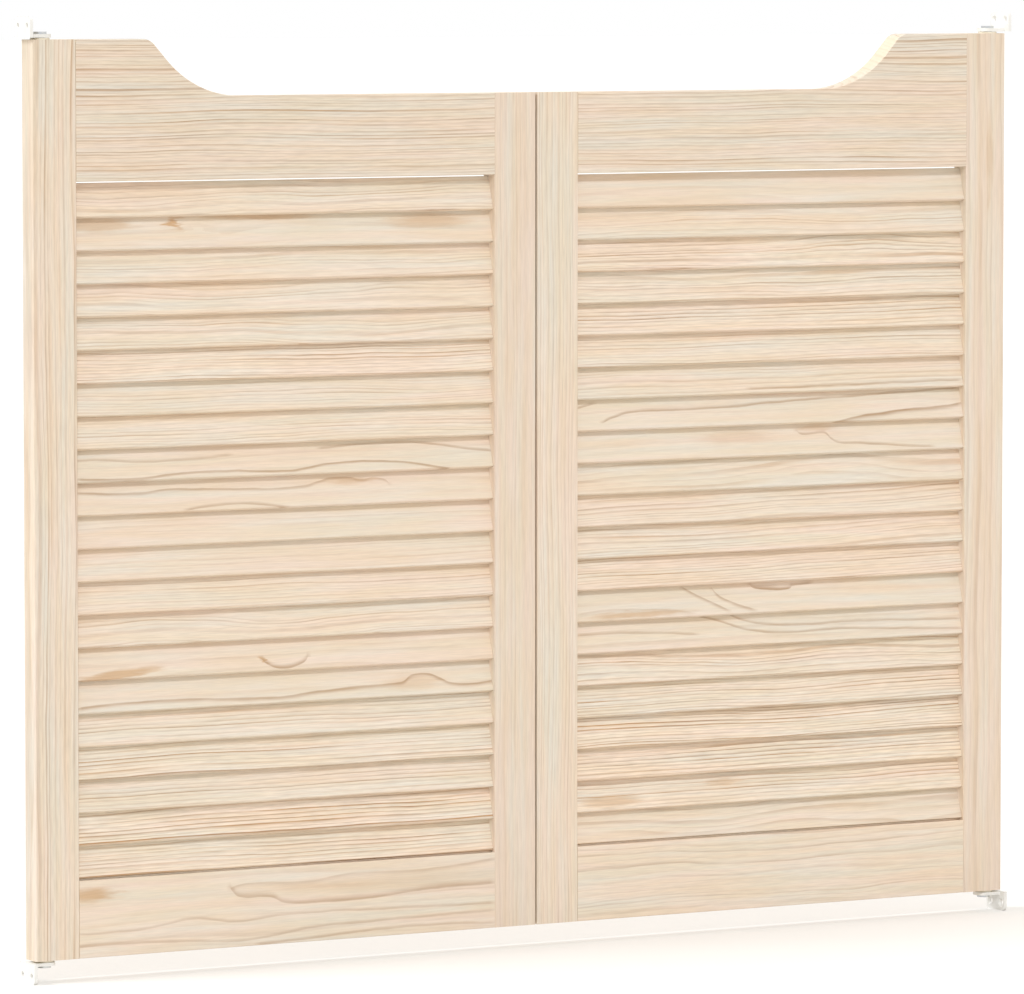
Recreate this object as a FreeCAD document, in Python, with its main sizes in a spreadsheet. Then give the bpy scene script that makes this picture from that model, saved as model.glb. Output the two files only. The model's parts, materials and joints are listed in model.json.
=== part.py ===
"""Pair of louvred cafe doors: two pine leaves that swing both ways on concealed sprung pivots.

Millimetres. +X runs along the doorway, the fronts of the leaves face -Y, +Z is up. The origin is
midway between the jambs, in the middle of the leaves' thickness, at the foot of the lower brackets.
The left leaf and its hardware are built first, and the right ones are their mirror images.
"""
import FreeCAD
import Part
import Sketcher
import math
import os

from FreeCAD import Vector

SIZES = (
    # the leaf
    ("leaf_width", 499.0, "width of one leaf"),
    ("leaf_height", 800.0, "height of a leaf at its hinge stile"),
    ("leaf_gap", 2.0, "gap between the two closed leaves"),
    ("jamb_gap", 4.0, "gap between a leaf and its jamb"),
    ("board_thickness", 21.0, "thickness of stiles and rails"),
    ("stile_width", 42.0, "face width of both stiles"),
    ("bottom_rail_height", 68.0, "height of the bottom rail"),
    ("top_rail_height", 73.0, "height of the top rail at its low end"),
    ("stile_arris", 1.0, "rounding of the stiles' long edges"),
    ("rail_arris", 1.0, "rounding of the rails' long edges"),
    # the swept top edge
    ("sweep_start", 107.0, "level part of the top edge, from the hinge edge"),
    ("sweep_drop", 50.0, "fall of the top edge to the meeting stile"),
    ("sweep_angle", 48.0, "slope of the sweep at its steepest, degrees"),
    ("shoulder_radius", 15.0, "convex bend at the top of the sweep"),
    ("hollow_radius", 95.0, "concave bend at the foot of the sweep"),
    # the louvre
    ("slat_count", 21, "slats in one leaf"),
    ("slat_width", 30.5, "width of a slat"),
    ("slat_thickness", 6.0, "thickness of a slat"),
    ("slat_arris", 0.8, "rounding of a slat's long edges"),
    ("slat_lean", 18.0, "lean of a slat from upright, top to the back, degrees"),
    ("slat_foot_gap", 0.4, "clearance under the lowest slat"),
    ("slat_head_gap", 1.3, "clearance over the highest slat"),
    ("housing_depth", 6.0, "depth of the slat housings in the stiles"),
    ("housing_clearance", 0.15, "clearance round and behind a slat's end"),
    # the dowelled joints
    ("dowel_diameter", 8.0, "diameter of a dowel"),
    ("dowel_length", 40.0, "length of a dowel, half in the stile and half in the rail"),
    ("dowel_margin", 18.0, "distance from a rail's edge to the nearest dowel's axis"),
    ("dowel_clearance", 0.05, "radial clearance of a dowel in its bore"),
    ("dowel_end_room", 1.0, "glue room at a dowel's end"),
    # the pivots
    ("pivot_inset", 12.5, "distance from the hinge edge to the pivot's axis"),
    ("pin_diameter", 8.0, "diameter of a pivot pin in its bush"),
    ("pin_clearance", 0.05, "radial running clearance of a pin in its bush"),
    ("pin_head_diameter", 12.0, "diameter of a pin's riveted head"),
    ("pin_head_height", 2.0, "height of a pin's riveted head"),
    ("push_clearance", 0.02, "radial clearance where a pin or bush is driven in for good"),
    ("bush_diameter", 12.0, "outer diameter of a bush's sleeve"),
    ("bush_length", 20.0, "length of a bush's sleeve in the stile"),
    ("flange_diameter", 17.0, "diameter of a bush's flange"),
    ("flange_thickness", 1.5, "thickness of a bush's flange, which carries the leaf"),
    ("running_gap", 0.3, "clearance between a bush's flange and its bracket"),
    # the return spring
    ("spring_wire", 1.2, "wire diameter of a return spring"),
    ("spring_diameter", 9.6, "mean coil diameter of a return spring"),
    ("spring_turns", 12, "turns of a return spring"),
    ("spring_pitch", 1.5, "pitch of a return spring's coils"),
    ("spring_leg", 3.5, "length of the leg that enters the bush"),
    ("spring_room", 1.5, "free height over the bush and over the spring"),
    ("spring_leg_clearance", 0.15, "clearance round a spring's legs"),
    ("arbor_diameter", 6.0, "diameter of the bottom pin inside the spring"),
    ("arbor_slot_depth", 4.0, "depth of the slot across the arbor's top"),
    # the jamb brackets
    ("bracket_thickness", 3.0, "thickness of a bracket's steel"),
    ("bracket_leg_height", 18.0, "height of the leg on the jamb"),
    ("bracket_leg_width", 30.0, "width of the leg on the jamb"),
    ("bracket_leg_corner", 4.0, "corner radius of the leg"),
    ("bracket_arm_width", 16.0, "width of the arm that holds the pin"),
    ("bracket_arm_nose", 9.0, "reach of the arm past the pivot's axis"),
    ("bracket_nose_corner", 6.0, "corner radius of the arm's nose"),
    ("bracket_bend", 2.0, "inside radius where arm and leg meet"),
    ("screw_hole", 4.5, "diameter of a screw hole"),
    ("screw_spacing", 18.0, "distance between a bracket's two screw holes"),
    ("screw_margin", 7.5, "distance from the leg's free edge to its screw holes"),
    ("screw_countersink", 1.8, "depth and width of the countersink's chamfer"),
)

document = FreeCAD.newDocument("CafeDoors")
sheet = document.addObject("Spreadsheet::Sheet", "Sizes")
for row, (alias, number, meaning) in enumerate(SIZES, start=1):
    sheet.set(f"A{row}", meaning)
    sheet.set(f"B{row}", str(number))
    sheet.setAlias(f"B{row}", alias)
document.recompute()

# Measures that follow from the sheet, as expressions for the document's objects.
HALF_PAIR = "(Sizes.leaf_width + Sizes.leaf_gap / 2)"
LEAF_BASE = "(Sizes.bracket_leg_height + Sizes.flange_thickness + Sizes.running_gap)"
HALF_BOARD = "(Sizes.board_thickness / 2)"
PIVOT_X = f"(Sizes.pivot_inset - {HALF_PAIR})"
RAIL_LENGTH = "(Sizes.leaf_width - 2 * Sizes.stile_width)"
RAIL_X = f"(Sizes.stile_width - {HALF_PAIR})"
LOW_HEIGHT = "(Sizes.leaf_height - Sizes.sweep_drop)"
SLAT_RISE = "(Sizes.slat_width * cos(Sizes.slat_lean) + Sizes.slat_thickness * sin(Sizes.slat_lean))"
TOP_RAIL_BASE = f"({LOW_HEIGHT} - Sizes.top_rail_height)"
LOWEST_SLAT = f"(Sizes.bottom_rail_height + Sizes.slat_foot_gap + {SLAT_RISE} / 2)"
HIGHEST_SLAT = f"({TOP_RAIL_BASE} - Sizes.slat_head_gap - {SLAT_RISE} / 2)"
LOUVRE_HEIGHT = f"({HIGHEST_SLAT} - {LOWEST_SLAT})"
SLAT_PITCH = f"({LOUVRE_HEIGHT} / (Sizes.slat_count - 1))"
DOWEL_REACH = "(Sizes.dowel_length / 2 + Sizes.dowel_end_room)"
DOWEL_BORE = "(Sizes.dowel_diameter + 2 * Sizes.dowel_clearance)"
SPRING_HEIGHT = "(Sizes.spring_turns * Sizes.spring_pitch)"
SPRING_FOOT = "(Sizes.bush_length + Sizes.spring_room + Sizes.spring_wire / 2)"
SPRING_BORE_DEPTH = f"({SPRING_FOOT} + {SPRING_HEIGHT} + Sizes.spring_wire / 2 + Sizes.spring_room)"
ARM_FACE = "(Sizes.flange_thickness + Sizes.running_gap)"
JAMB_REACH = "(Sizes.pivot_inset + Sizes.jamb_gap)"


def value(expression):
    """Number that an expression on the sheet works out to."""
    result = sheet.evalExpression(expression)
    return float(getattr(result, "Value", result))


def origin_part(body, role):
    """One of the body's own origin planes or axes."""
    return next(item for item in body.Origin.OriginFeatures if item.Role == role)


def new_body(name, x="0", z="0"):
    """Body placed in the doors' frame."""
    body = document.addObject("PartDesign::Body", name)
    body.Label = name
    body.setExpression("Placement.Base.x", x)
    body.setExpression("Placement.Base.z", z)
    return body


def new_sketch(body, name, role, offset=None):
    """Sketch on one of the body's origin planes, moved along the plane's normal."""
    sketch = body.newObject("Sketcher::SketchObject", name)
    sketch.AttachmentSupport = [(origin_part(body, role), "")]
    sketch.MapMode = "FlatFace"
    if offset is not None:
        sketch.setExpression("AttachmentOffset.Base.z", offset)
    return sketch


def measure(sketch, constraint, expression):
    """Add a driving constraint whose size comes from the sheet."""
    index = sketch.addConstraint(constraint)
    sketch.setExpression(f"Constraints[{index}]", expression)


def place_point(sketch, geometry, point, across, up):
    """Fix a point of a sketch by its two distances from the sketch's origin."""
    to_point = (-1, 1, geometry, point)
    measure(sketch, Sketcher.Constraint("DistanceX", *to_point, value(across)), across)
    measure(sketch, Sketcher.Constraint("DistanceY", *to_point, value(up)), up)


def rectangle(sketch, across, up, width, height):
    """Upright rectangle; across and up place its lower left corner."""
    left, low = value(across), value(up)
    right, high = left + value(width), low + value(height)
    corners = [Vector(left, low), Vector(right, low), Vector(right, high), Vector(left, high)]
    first = sketch.GeometryCount
    for start, end in zip(corners, corners[1:] + corners[:1]):
        sketch.addGeometry(Part.LineSegment(start, end))
    for side in range(4):
        following = (side + 1) % 4
        sketch.addConstraint(Sketcher.Constraint("Coincident", first + side, 2, first + following, 1))
        direction = "Vertical" if side % 2 else "Horizontal"
        sketch.addConstraint(Sketcher.Constraint(direction, first + side))
    place_point(sketch, first, 1, across, up)
    measure(sketch, Sketcher.Constraint("DistanceX", first, 1, first, 2, right - left), width)
    measure(sketch, Sketcher.Constraint("DistanceY", first + 1, 1, first + 1, 2, high - low), height)


def circle(sketch, across, up, diameter):
    """Circle placed by its centre."""
    centre = Vector(value(across), value(up))
    index = sketch.addGeometry(Part.Circle(centre, Vector(0, 0, 1), value(diameter) / 2))
    place_point(sketch, index, 3, across, up)
    measure(sketch, Sketcher.Constraint("Diameter", index, value(diameter)), diameter)


def outline(sketch, corners):
    """Closed outline through corners given as (across, up) expressions."""
    points = [Vector(value(across), value(up)) for across, up in corners]
    for index, start in enumerate(points):
        sketch.addGeometry(Part.LineSegment(start, points[(index + 1) % len(points)]))
    for index, (across, up) in enumerate(corners):
        following = (index + 1) % len(points)
        sketch.addConstraint(Sketcher.Constraint("Coincident", index, 2, following, 1))
        place_point(sketch, index, 1, across, up)


def slat_outline(sketch, up, clearance="0"):
    """Section of a leaning slat, its middle on the leaf's mid-plane and up above the sketch's origin."""
    half_width = f"(Sizes.slat_width / 2 + {clearance})"
    half_thickness = f"(Sizes.slat_thickness / 2 + {clearance})"
    corners = []
    for end, face in (("-", "-"), ("-", ""), ("", ""), ("", "-")):
        across = f"{end}{half_width} * sin(Sizes.slat_lean) + ({face}{half_thickness}) * cos(Sizes.slat_lean)"
        rise = f"({end}{half_width}) * cos(Sizes.slat_lean) - ({face}{half_thickness}) * sin(Sizes.slat_lean)"
        corners.append((across, f"{up} + {rise}"))
    outline(sketch, corners)


def pad(body, sketch, name, length, symmetric=False):
    """Extrude a sketch along its normal, or to both sides of its plane."""
    feature = body.newObject("PartDesign::Pad", name)
    feature.Profile = sketch
    feature.Midplane = symmetric
    feature.setExpression("Length", length)
    sketch.Visibility = False
    document.recompute()
    return feature


def pocket(body, sketch, name, depth, along_normal=False):
    """Cut a sketch into the body, against the plane's normal or along it."""
    before = body.Shape.Volume
    feature = body.newObject("PartDesign::Pocket", name)
    feature.Profile = sketch
    feature.Reversed = along_normal
    feature.setExpression("Length", depth)
    document.recompute()
    if not feature.Shape.Volume < before:
        raise RuntimeError(f"{body.Label}: {name} cuts nothing")
    return feature


def turn(body, sketch, name):
    """Full revolution of a half profile about the sketch's upright axis."""
    feature = body.newObject("PartDesign::Revolution", name)
    feature.Profile = sketch
    feature.ReferenceAxis = (sketch, ["V_Axis"])
    feature.Angle = 360
    document.recompute()
    return feature


def dress(body, kind, name, chosen, size_name, size):
    """Fillet or chamfer on the edges of the body's last feature that a test chooses."""
    base = body.Tip
    edges = [f"Edge{n}" for n, edge in enumerate(base.Shape.Edges, start=1) if chosen(edge)]
    if not edges:
        raise RuntimeError(f"{body.Label}: {name} finds no edge")
    feature = body.newObject(kind, name)
    feature.Base = (base, edges)
    feature.setExpression(size_name, size)
    document.recompute()
    return feature


def fillet(body, name, chosen, radius):
    return dress(body, "PartDesign::Fillet", name, chosen, "Radius", radius)


def runs_along(edge, axis):
    """True for a straight edge parallel to an axis."""
    if not isinstance(edge.Curve, Part.Line):
        return False
    return abs(abs(edge.Curve.Direction.dot(axis)) - 1) < 1e-6


def all_points(edge, test):
    """True where both ends and the middle of an edge pass a test."""
    first, last = edge.ParameterRange
    return all(test(edge.valueAt(t)) for t in (first, (first + last) / 2, last))


def near(number, expression):
    return abs(number - value(expression)) < 1e-4


def dowel_heights(joint_height, base="0"):
    """Heights of a joint's two dowels, a margin in from the rail's lower and upper edge."""
    return (f"{base} + Sizes.dowel_margin", f"{base} + {joint_height} - Sizes.dowel_margin")


HINGE_JOINT = "(Sizes.top_rail_height + Sizes.sweep_drop)"
MEETING_JOINT = "Sizes.top_rail_height"
BOTTOM_DOWELS = dowel_heights("Sizes.bottom_rail_height")
HINGE_DOWELS = dowel_heights(HINGE_JOINT)
MEETING_DOWELS = dowel_heights(MEETING_JOINT)


def make_stile(name, x, height, inner_face, top_dowels):
    """Stile with rounded long edges, slat housings and dowel bores in its inner face.

    inner_face is the side that the rails meet, "right" or "left". Its length runs up from the
    body's origin, and its outer or left edge lies on the body's X = 0.
    """
    body = new_body(name, x, LEAF_BASE)
    blank = new_sketch(body, name + "_section", "XY_Plane")
    rectangle(blank, "0", f"-{HALF_BOARD}", "Sizes.stile_width", "Sizes.board_thickness")
    pad(body, blank, name + "_blank", height)
    fillet(body, name + "_arris", lambda edge: runs_along(edge, Vector(0, 0, 1)), "Sizes.stile_arris")

    inner_right = inner_face == "right"
    face = "Sizes.stile_width" if inner_right else "0"
    housing = new_sketch(body, name + "_housing_outline", "YZ_Plane", face)
    slat_outline(housing, LOWEST_SLAT, "Sizes.housing_clearance")
    depth = "Sizes.housing_depth + Sizes.housing_clearance"
    first = pocket(body, housing, name + "_housing", depth, along_normal=not inner_right)
    single_cut = body.Shape.Volume
    housings = body.newObject("PartDesign::LinearPattern", name + "_housings")
    housings.Originals = [first]
    housings.Direction = (origin_part(body, "Z_Axis"), [""])
    housings.setExpression("Length", LOUVRE_HEIGHT)
    housings.setExpression("Occurrences", "Sizes.slat_count")
    body.Tip = housings
    document.recompute()
    if not body.Shape.Volume < single_cut:
        raise RuntimeError(f"{name}: the housings' pattern cuts nothing")

    bores = new_sketch(body, name + "_dowel_outline", "YZ_Plane", face)
    for up in BOTTOM_DOWELS:
        circle(bores, "0", up, DOWEL_BORE)
    for up in top_dowels:
        circle(bores, "0", f"{TOP_RAIL_BASE} + {up}", DOWEL_BORE)
    pocket(body, bores, name + "_dowel_bores", DOWEL_REACH, along_normal=not inner_right)
    return body


def make_hinge_stile():
    """Outer stile, bored from both ends for the pivots."""
    name = "left_hinge_stile"
    body = make_stile(name, f"-{HALF_PAIR}", "Sizes.leaf_height", "right", HINGE_DOWELS)
    bottom = new_sketch(body, name + "_bottom_outline", "XY_Plane")
    circle(bottom, "Sizes.pivot_inset", "0", "Sizes.bush_diameter + 2 * Sizes.push_clearance")
    pocket(body, bottom, name + "_bottom_bore", SPRING_BORE_DEPTH, along_normal=True)
    top = new_sketch(body, name + "_top_outline", "XY_Plane", "Sizes.leaf_height")
    circle(top, "Sizes.pivot_inset", "0", "Sizes.bush_diameter + 2 * Sizes.push_clearance")
    pocket(body, top, name + "_top_bore", "Sizes.bush_length + Sizes.spring_room")
    return body


def make_meeting_stile():
    """Inner stile, as high as the low end of the top rail."""
    x = "(-Sizes.leaf_gap / 2 - Sizes.stile_width)"
    return make_stile("left_meeting_stile", x, LOW_HEIGHT, "left", MEETING_DOWELS)


def bore_rail_ends(body, hinge_dowels, meeting_dowels):
    """Dowel bores in both ends of a rail."""
    name = body.Label
    hinge_end = new_sketch(body, name + "_hinge_end", "YZ_Plane")
    for up in hinge_dowels:
        circle(hinge_end, "0", up, DOWEL_BORE)
    pocket(body, hinge_end, name + "_hinge_bores", DOWEL_REACH, along_normal=True)
    meeting_end = new_sketch(body, name + "_meeting_end", "YZ_Plane", RAIL_LENGTH)
    for up in meeting_dowels:
        circle(meeting_end, "0", up, DOWEL_BORE)
    pocket(body, meeting_end, name + "_meeting_bores", DOWEL_REACH)


def make_bottom_rail():
    """Straight rail between the stiles, its long edges rounded."""
    name = "left_bottom_rail"
    body = new_body(name, RAIL_X, LEAF_BASE)
    section = new_sketch(body, name + "_section", "YZ_Plane")
    rectangle(section, f"-{HALF_BOARD}", "0", "Sizes.board_thickness", "Sizes.bottom_rail_height")
    pad(body, section, name + "_blank", RAIL_LENGTH)
    fillet(body, name + "_arris", lambda edge: runs_along(edge, Vector(1, 0, 0)), "Sizes.rail_arris")
    bore_rail_ends(body, BOTTOM_DOWELS, BOTTOM_DOWELS)
    return body


def swept_outline(sketch):
    """Face of the top rail: level at the hinge stile, then swept down to the meeting stile."""
    length, full, low = value(RAIL_LENGTH), value(HINGE_JOINT), value(MEETING_JOINT)
    start = value("Sizes.sweep_start - Sizes.stile_width")
    shoulder, hollow = value("Sizes.shoulder_radius"), value("Sizes.hollow_radius")
    across, level = value("sin(Sizes.sweep_angle)"), value("cos(Sizes.sweep_angle)")
    slope = (value("Sizes.sweep_drop") - (shoulder + hollow) * (1 - level)) / across
    shoulder_end = Vector(start + shoulder * across, full - shoulder * (1 - level))
    hollow_start = shoulder_end + Vector(slope * level, -slope * across)
    hollow_end = Vector(hollow_start.x + hollow * across, low)
    shoulder_mid = Vector(start, full - shoulder) + Vector(across, 1 + level).normalize() * shoulder
    hollow_mid = Vector(hollow_end.x, low + hollow) - Vector(across, 1 + level).normalize() * hollow
    shapes = [
        Part.LineSegment(Vector(0, 0), Vector(length, 0)),
        Part.LineSegment(Vector(length, 0), Vector(length, low)),
        Part.LineSegment(Vector(length, low), hollow_end),
        Part.Arc(hollow_end, hollow_mid, hollow_start),
        Part.LineSegment(hollow_start, shoulder_end),
        Part.Arc(shoulder_end, shoulder_mid, Vector(start, full)),
        Part.LineSegment(Vector(start, full), Vector(0, full)),
        Part.LineSegment(Vector(0, full), Vector(0, 0)),
    ]
    under, end, ledge, bowl, ramp, crest, shelf, butt = sketch.addGeometry(shapes, False)
    for line in (under, ledge, shelf):
        sketch.addConstraint(Sketcher.Constraint("Horizontal", line))
    for line in (end, butt):
        sketch.addConstraint(Sketcher.Constraint("Vertical", line))
    for first, second in ((under, end), (end, ledge), (shelf, butt), (butt, under)):
        sketch.addConstraint(Sketcher.Constraint("Coincident", first, 2, second, 1))
    # Part.Arc always runs anticlockwise, so the hollow's ends come in the other order.
    sketch.addConstraint(Sketcher.Constraint("Tangent", ledge, 2, bowl, 2))
    sketch.addConstraint(Sketcher.Constraint("Tangent", bowl, 1, ramp, 1))
    sketch.addConstraint(Sketcher.Constraint("Tangent", ramp, 2, crest, 1))
    sketch.addConstraint(Sketcher.Constraint("Tangent", crest, 2, shelf, 1))
    sketch.addConstraint(Sketcher.Constraint("Coincident", under, 1, -1, 1))
    measure(sketch, Sketcher.Constraint("DistanceX", under, 1, under, 2, length), RAIL_LENGTH)
    measure(sketch, Sketcher.Constraint("DistanceY", end, 1, end, 2, low), MEETING_JOINT)
    measure(sketch, Sketcher.Constraint("DistanceY", butt, 2, butt, 1, full), HINGE_JOINT)
    level_part = "Sizes.sweep_start - Sizes.stile_width"
    measure(sketch, Sketcher.Constraint("DistanceX", shelf, 2, shelf, 1, start), level_part)
    measure(sketch, Sketcher.Constraint("Radius", crest, shoulder), "Sizes.shoulder_radius")
    measure(sketch, Sketcher.Constraint("Radius", bowl, hollow), "Sizes.hollow_radius")
    ramp_angle = "180 - Sizes.sweep_angle"
    measure(sketch, Sketcher.Constraint("Angle", ramp, math.radians(value(ramp_angle))), ramp_angle)


def make_top_rail():
    """Rail cut from one wide board, its top edge swept from the high end to the low end."""
    name = "left_top_rail"
    body = new_body(name, RAIL_X, f"{LEAF_BASE} + {TOP_RAIL_BASE}")
    face = new_sketch(body, name + "_face", "XZ_Plane")
    swept_outline(face)
    pad(body, face, name + "_blank", "Sizes.board_thickness", symmetric=True)

    def long_edge(edge):
        on_a_face = all_points(edge, lambda point: near(abs(point.y), HALF_BOARD))
        middle = edge.valueAt(sum(edge.ParameterRange) / 2)
        return on_a_face and not (near(middle.x, "0") or near(middle.x, RAIL_LENGTH))

    fillet(body, name + "_arris", long_edge, "Sizes.rail_arris")
    bore_rail_ends(body, HINGE_DOWELS, MEETING_DOWELS)
    return body


def make_slat(number):
    """One slat, numbered from the top, its ends in the stiles' housings."""
    name = f"left_slat_{number:02d}"
    up = f"{LEAF_BASE} + {LOWEST_SLAT} + (Sizes.slat_count - {number}) * {SLAT_PITCH}"
    body = new_body(name, f"{RAIL_X} - Sizes.housing_depth", up)
    section = new_sketch(body, name + "_section", "YZ_Plane")
    slat_outline(section, "0")
    pad(body, section, name + "_board", f"{RAIL_LENGTH} + 2 * Sizes.housing_depth")
    fillet(body, name + "_arris", lambda edge: runs_along(edge, Vector(1, 0, 0)), "Sizes.slat_arris")
    return body


def make_dowels():
    """The leaf's eight dowels, two across each joint of a rail and a stile."""
    hinge_face = RAIL_X
    meeting_face = f"({RAIL_X} + {RAIL_LENGTH})"
    joints = (
        ("bottom_hinge", hinge_face, "0", BOTTOM_DOWELS),
        ("bottom_meeting", meeting_face, "0", BOTTOM_DOWELS),
        ("top_hinge", hinge_face, TOP_RAIL_BASE, HINGE_DOWELS),
        ("top_meeting", meeting_face, TOP_RAIL_BASE, MEETING_DOWELS),
    )
    dowels = []
    for joint, face, base, heights in joints:
        for number, up in enumerate(heights, start=1):
            dowel = document.addObject("Part::Cylinder", f"left_{joint}_dowel_{number}")
            dowel.setExpression("Radius", "Sizes.dowel_diameter / 2")
            dowel.setExpression("Height", "Sizes.dowel_length")
            dowel.Placement.Rotation = FreeCAD.Rotation(Vector(0, 1, 0), 90)
            dowel.setExpression("Placement.Base.x", f"{face} - Sizes.dowel_length / 2")
            dowel.setExpression("Placement.Base.z", f"{LEAF_BASE} + {base} + {up}")
            dowels.append(dowel)
    return group("left_dowels", dowels)


def group(name, pieces):
    """Several separate solids under one name."""
    compound = document.addObject("Part::Compound", name)
    compound.Label = name
    compound.Links = pieces
    document.recompute()
    return compound


def mirrored(source, name, normal=Vector(1, 0, 0), height="0"):
    """Mirror image of a piece, in the doors' middle plane or in a level plane at a height."""
    image = document.addObject("Part::Mirroring", name)
    image.Label = name
    image.Source = source
    image.Normal = normal
    image.setExpression("Base.z", height)
    document.recompute()
    return image


MID_HEIGHT = f"{LEAF_BASE} + Sizes.leaf_height / 2"
UP = Vector(0, 0, 1)


def make_bush():
    """Flanged plastic bush, driven into the stile's lower end, with a notch for the spring's leg."""
    name = "left_bottom_bush"
    body = new_body(name, PIVOT_X, LEAF_BASE)
    profile = new_sketch(body, name + "_profile", "XZ_Plane")
    bore = "Sizes.pin_diameter / 2 + Sizes.pin_clearance"
    corners = (
        (bore, "-Sizes.flange_thickness"),
        ("Sizes.flange_diameter / 2", "-Sizes.flange_thickness"),
        ("Sizes.flange_diameter / 2", "0"),
        ("Sizes.bush_diameter / 2", "0"),
        ("Sizes.bush_diameter / 2", "Sizes.bush_length"),
        (bore, "Sizes.bush_length"),
    )
    outline(profile, corners)
    turn(body, profile, name + "_turned")
    notch = new_sketch(body, name + "_notch_outline", "XY_Plane", "Sizes.bush_length")
    width = "Sizes.spring_wire + 2 * Sizes.spring_leg_clearance"
    across = "Sizes.bush_diameter / 2 + Sizes.spring_leg_clearance"
    rectangle(notch, "0", f"-({width}) / 2", across, width)
    pocket(body, notch, name + "_notch", "Sizes.spring_leg - Sizes.spring_wire / 2")
    return body


def pin_profile(sketch, tip):
    """Half profile of a pin, riveted in the lower arm, from its head to its tip."""
    shank = "Sizes.pin_diameter / 2"
    head = f"-{ARM_FACE} - Sizes.bracket_thickness"
    corners = [
        ("0", f"{head} - Sizes.pin_head_height"),
        ("Sizes.pin_head_diameter / 2", f"{head} - Sizes.pin_head_height"),
        ("Sizes.pin_head_diameter / 2", head),
        (shank, head),
        (shank, "Sizes.bush_length"),
    ]
    outline(sketch, corners + tip)


def make_bottom_pin():
    """Long pin: a journal in the bush, then a slimmer arbor, slotted across its top."""
    name = "left_bottom_pin"
    body = new_body(name, PIVOT_X, LEAF_BASE)
    profile = new_sketch(body, name + "_profile", "XZ_Plane")
    arbor_top = f"{SPRING_FOOT} + {SPRING_HEIGHT} + Sizes.spring_wire"
    arbor = "Sizes.arbor_diameter / 2"
    pin_profile(profile, [(arbor, "Sizes.bush_length"), (arbor, arbor_top), ("0", arbor_top)])
    turn(body, profile, name + "_turned")
    slot = new_sketch(body, name + "_slot_outline", "XY_Plane", arbor_top)
    width = "Sizes.spring_wire + 2 * Sizes.spring_leg_clearance"
    across = "Sizes.arbor_diameter + 2 * Sizes.spring_leg_clearance"
    rectangle(slot, f"-({across}) / 2", f"-({width}) / 2", across, width)
    pocket(body, slot, name + "_slot", "Sizes.arbor_slot_depth")
    return body


def make_short_pin():
    """Plain pin of the upper pivot, made as if it were the lower one."""
    name = "left_short_pin"
    body = new_body(name, PIVOT_X, LEAF_BASE)
    profile = new_sketch(body, name + "_profile", "XZ_Plane")
    pin_profile(profile, [("0", "Sizes.bush_length")])
    turn(body, profile, name + "_turned")
    return body


def make_spring():
    """Torsion spring round the arbor: a coil with a leg down into the bush and one across the slot."""
    name = "left_return_spring"
    centre_height = f"{LEAF_BASE} + {SPRING_FOOT}"
    coil_path = document.addObject("Part::Helix", name + "_path")
    coil_path.setExpression("Radius", "Sizes.spring_diameter / 2")
    coil_path.setExpression("Pitch", "Sizes.spring_pitch")
    coil_path.setExpression("Height", SPRING_HEIGHT)
    wire_section = document.addObject("Part::Circle", name + "_wire")
    wire_section.setExpression("Radius", "Sizes.spring_wire / 2")
    wire_section.Placement.Rotation = FreeCAD.Rotation(Vector(1, 0, 0), 90)
    wire_section.setExpression("Placement.Base.x", "Sizes.spring_diameter / 2")
    coil = document.addObject("Part::Sweep", name + "_coil")
    coil.Sections = [wire_section]
    coil.Spine = (coil_path, ["Edge1"])
    coil.Solid = True
    coil.Frenet = True
    lower_leg = document.addObject("Part::Cylinder", name + "_lower_leg")
    lower_leg.setExpression("Height", "Sizes.spring_leg")
    lower_leg.setExpression("Placement.Base.z", "-Sizes.spring_leg")
    cross_leg = document.addObject("Part::Cylinder", name + "_cross_leg")
    cross_leg.Placement.Rotation = FreeCAD.Rotation(Vector(0, 1, 0), -90)
    cross_leg.setExpression("Height", "(Sizes.spring_diameter + Sizes.arbor_diameter) / 2")
    cross_leg.setExpression("Placement.Base.z", SPRING_HEIGHT)
    knuckles = [document.addObject("Part::Sphere", f"{name}_knuckle_{end}") for end in ("low", "high")]
    knuckles[1].setExpression("Placement.Base.z", SPRING_HEIGHT)
    for piece in [lower_leg, cross_leg] + knuckles:
        piece.setExpression("Radius", "Sizes.spring_wire / 2")
        piece.setExpression("Placement.Base.x", "Sizes.spring_diameter / 2")
    spring = document.addObject("Part::MultiFuse", name)
    spring.Shapes = [coil, lower_leg, cross_leg] + knuckles
    spring.setExpression("Placement.Base.x", PIVOT_X)
    spring.setExpression("Placement.Base.z", centre_height)
    document.recompute()
    return spring


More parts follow.
